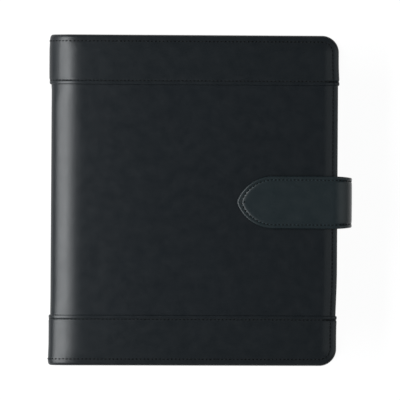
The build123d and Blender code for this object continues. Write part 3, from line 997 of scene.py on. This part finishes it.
# ---- pockets and pen loop ----
# Border of a pocket: distance in from its edge, and drop from its face.
POCKET_EDGE = [(0.0, 0.8), (0.15, 0.4), (0.5, 0.12), (1.2, 0.0), (2.2, 0.05), (2.8, 0.22), (3.4, 0.05),
               (4.4, 0.0)]
POCKET_SEAM, POCKET_GROOVE = 2.8, 0.22  # where the seam is in it, and its drop


def pocket_places(low, high):
    """Places across a pocket, close together along both borders."""
    ins = [i for i, _ in POCKET_EDGE]
    return [low + i for i in ins] + steps(low + 5, high - 5, 6.0) + [high - i for i in reversed(ins)]


def pocket_sheet(node, body):
    """A sewn pocket: soft rounded edges, a folded hem along its mouth, and its seam.

    The pockets of the front cover open at the head, and the one of the back cover at the spine."""
    low, high = box_mm(node)
    up = body == "back_cover"
    face, sign = (high[2], 1) if up else (low[2], -1)
    grid = []
    for y in pocket_places(low[1], high[1]):
        line = []
        for x in pocket_places(low[0], high[0]):
            distance = min(x - low[0], high[0] - x, y - low[1], high[1] - y)
            mouth = (x - low[0]) if up else (high[1] - y)
            lift = 0.12 * noise.noise(Vector((x / 24, y / 24, 5.0)))
            lift -= between(POCKET_EDGE, distance) or 0.0
            lift -= 0.25 * smooth((mouth - 7.0) / 0.8) * smooth((12 - mouth) / 4)
            line.append(Vector((x, y, face + sign * lift)))
        grid.append(line)
    piece = grid_piece(f"{node}_leather", grid, (INNER_BLACK, "inner_leather"), not up, POCKET_THICK)
    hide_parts(node)
    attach(piece, body)
    thread_z = face - sign * (POCKET_GROOVE - THREAD_LIFT)
    normal = Vector((0, 0, sign))
    left, right = low[0] + POCKET_SEAM, high[0] - POCKET_SEAM
    bottom, top = low[1] + POCKET_SEAM, high[1] - POCKET_SEAM
    corners = [(left, top), (left, bottom), (right, bottom), (right, top)]
    if up:
        corners = [(left, top), (right, top), (right, bottom), (left, bottom)]
    places = [(Vector((x, y, thread_z)), normal) for x, y in corners]
    seams = list(zip(places, places[1:]))
    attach(thread_piece(f"{node}_leather_thread", seams), body)


for pocket in ("front_slip_pocket", "card_pocket_1", "card_pocket_2"):
    pocket_sheet(pocket, "front_cover")
pocket_sheet("back_slip_pocket", "back_cover")


PEN_BORE = 5.5
PEN_WALL = 0.9
PEN_SIDES = 48
# Rounded ends of the pen loop: distance in from its end, and wall thickness.
PEN_ENDS = [(0.0, 0.45), (0.12, 0.75), (0.5, 0.9), (1.4, 0.95)]


def pen_loop_piece():
    """Leather loop for a pen: a rounded tube that flares into its sewn base."""
    low, high = box_mm("pen_loop")
    centre_x, centre_z = (low[0] + high[0]) / 2, high[2] - PEN_BORE - PEN_WALL
    length = high[1] - low[1]
    rings = PEN_ENDS + [(y, PEN_WALL) for y in steps(3, length - 3, 4.0)]
    rings += [(length - y, wall) for y, wall in reversed(PEN_ENDS)]
    points = []
    for along, wall in rings:
        outer, inner = [], []
        for k in range(PEN_SIDES):
            angle = -math.pi / 2 + 2 * math.pi * k / PEN_SIDES
            c, s = math.cos(angle), math.sin(angle)
            flare = 2.2 * smooth((-s - 0.55) / 0.4) * (1 - smooth((-s - 0.93) / 0.07))
            x = centre_x + (PEN_BORE + wall) * c + math.copysign(flare, c)
            z = max(centre_z + (PEN_BORE + wall) * s, low[2] + 0.02)
            outer.append(Vector((x, low[1] + along, z)))
            inner.append(Vector((centre_x + PEN_BORE * c, low[1] + along, centre_z + PEN_BORE * s)))
        points += outer + inner[::-1]
    width = 2 * PEN_SIDES
    faces = []
    for i in range(len(rings) - 1):
        for start in (i * width, i * width + PEN_SIDES):
            for j in range(PEN_SIDES):
                a, b = start + j, start + (j + 1) % PEN_SIDES
                faces.append((a, b, b + width, a + width))
    for i in (0, len(rings) - 1):
        for j in range(PEN_SIDES):
            k = (j + 1) % PEN_SIDES
            a, b = i * width + j, i * width + k
            c, d = i * width + width - 1 - k, i * width + width - 1 - j
            faces.append((a, d, c, b) if i == 0 else (a, b, c, d))
    piece = new_object("pen_loop_leather", points, faces, INNER_BLACK, "inner_leather")
    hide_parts("pen_loop")
    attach(piece, "back_cover")


pen_loop_piece()


# ---- floor, light and camera ----
def area_light(name, place, aim, size, power, tint):
    """A soft rectangular light in metres and watts. The camera doesn't see it."""
    light = bpy.data.lights.new(name, "AREA")
    light.shape = "RECTANGLE"
    light.size, light.size_y = size
    light.energy = power
    light.color = tint
    lamp = bpy.data.objects.new(name, light)
    scene.collection.objects.link(lamp)
    lamp.location = place
    lamp.visible_camera = False
    lamp.rotation_euler = (Vector(aim) - Vector(place)).to_track_quat("-Z", "Y").to_euler()


scene = bpy.context.scene
scene.view_settings.view_transform = "Standard"
scene.view_settings.look = "None"

FLOOR_HALF = 4.0
floor_mesh = bpy.data.meshes.new("floor")
floor_corners = [(x * FLOOR_HALF, y * FLOOR_HALF, 0) for x, y in ((-1, -1), (1, -1), (1, 1), (-1, 1))]
floor_mesh.from_pydata(floor_corners, [], [(0, 1, 2, 3)])
floor = bpy.data.objects.new("floor", floor_mesh)
scene.collection.objects.link(floor)
floor_material, _, floor_shader = node_material("pale_floor")
floor_shader.inputs["Base Color"].default_value = (0.12, 0.12, 0.12, 1)
floor_shader.inputs["Roughness"].default_value = 0.9
floor_shader.inputs["Specular IOR Level"].default_value = 0.1
floor_shader.inputs["Emission Color"].default_value = (1, 1, 1, 1)
floor_shader.inputs["Emission Strength"].default_value = 0.95
floor.data.materials.append(floor_material)

world = bpy.data.worlds.new("studio")
world.use_nodes = True
background = world.node_tree.nodes["Background"]
background.inputs["Color"].default_value = (0.93, 0.97, 1.0, 1)
background.inputs["Strength"].default_value = 0.03
scene.world = world

area_light("left_softbox", (-0.63, 0.0, 0.575), (-0.1, 0.0, 0.03), (1.3, 0.37), 12.6, (0.96, 0.985, 1.0))
area_light("right_card", (0.82, 0.0, 0.95), (0.1, 0.0, 0.04), (0.9, 0.8), 2.1, (0.92, 0.99, 1.0))
area_light("low_card", (1.0, 0.0, 0.3), (0.1, 0.0, 0.04), (0.9, 0.6), 0.7, (0.9, 0.99, 1.0))
area_light("head_card", (0.1, 0.9, 0.8), (0.0, 0.0, 0.04), (0.9, 0.7), 0.3, (0.94, 0.99, 1.0))
area_light("tail_card", (0.1, -0.9, 0.8), (0.0, 0.0, 0.04), (0.9, 0.7), 0.4, (0.94, 0.99, 1.0))

# The photo looks straight down from far away, so a long lens high over the cover matches it.
CAMERA_HIGH = 6.0
VIEW_WIDE = 292.1 * MM  # width of the view at the front cover's face
SENSOR = 36.0
camera_data = bpy.data.cameras.new("camera")
camera = bpy.data.objects.new("camera", camera_data)
scene.collection.objects.link(camera)
camera.location = (-0.37 * MM, 0.08 * MM, CAMERA_HIGH)
camera.rotation_euler = (0, 0, math.radians(0.35))
camera_data.sensor_width = SENSOR
camera_data.lens = SENSOR * (CAMERA_HIGH - TOP * MM) / VIEW_WIDE
camera_data.clip_end = 40.0
scene.camera = camera
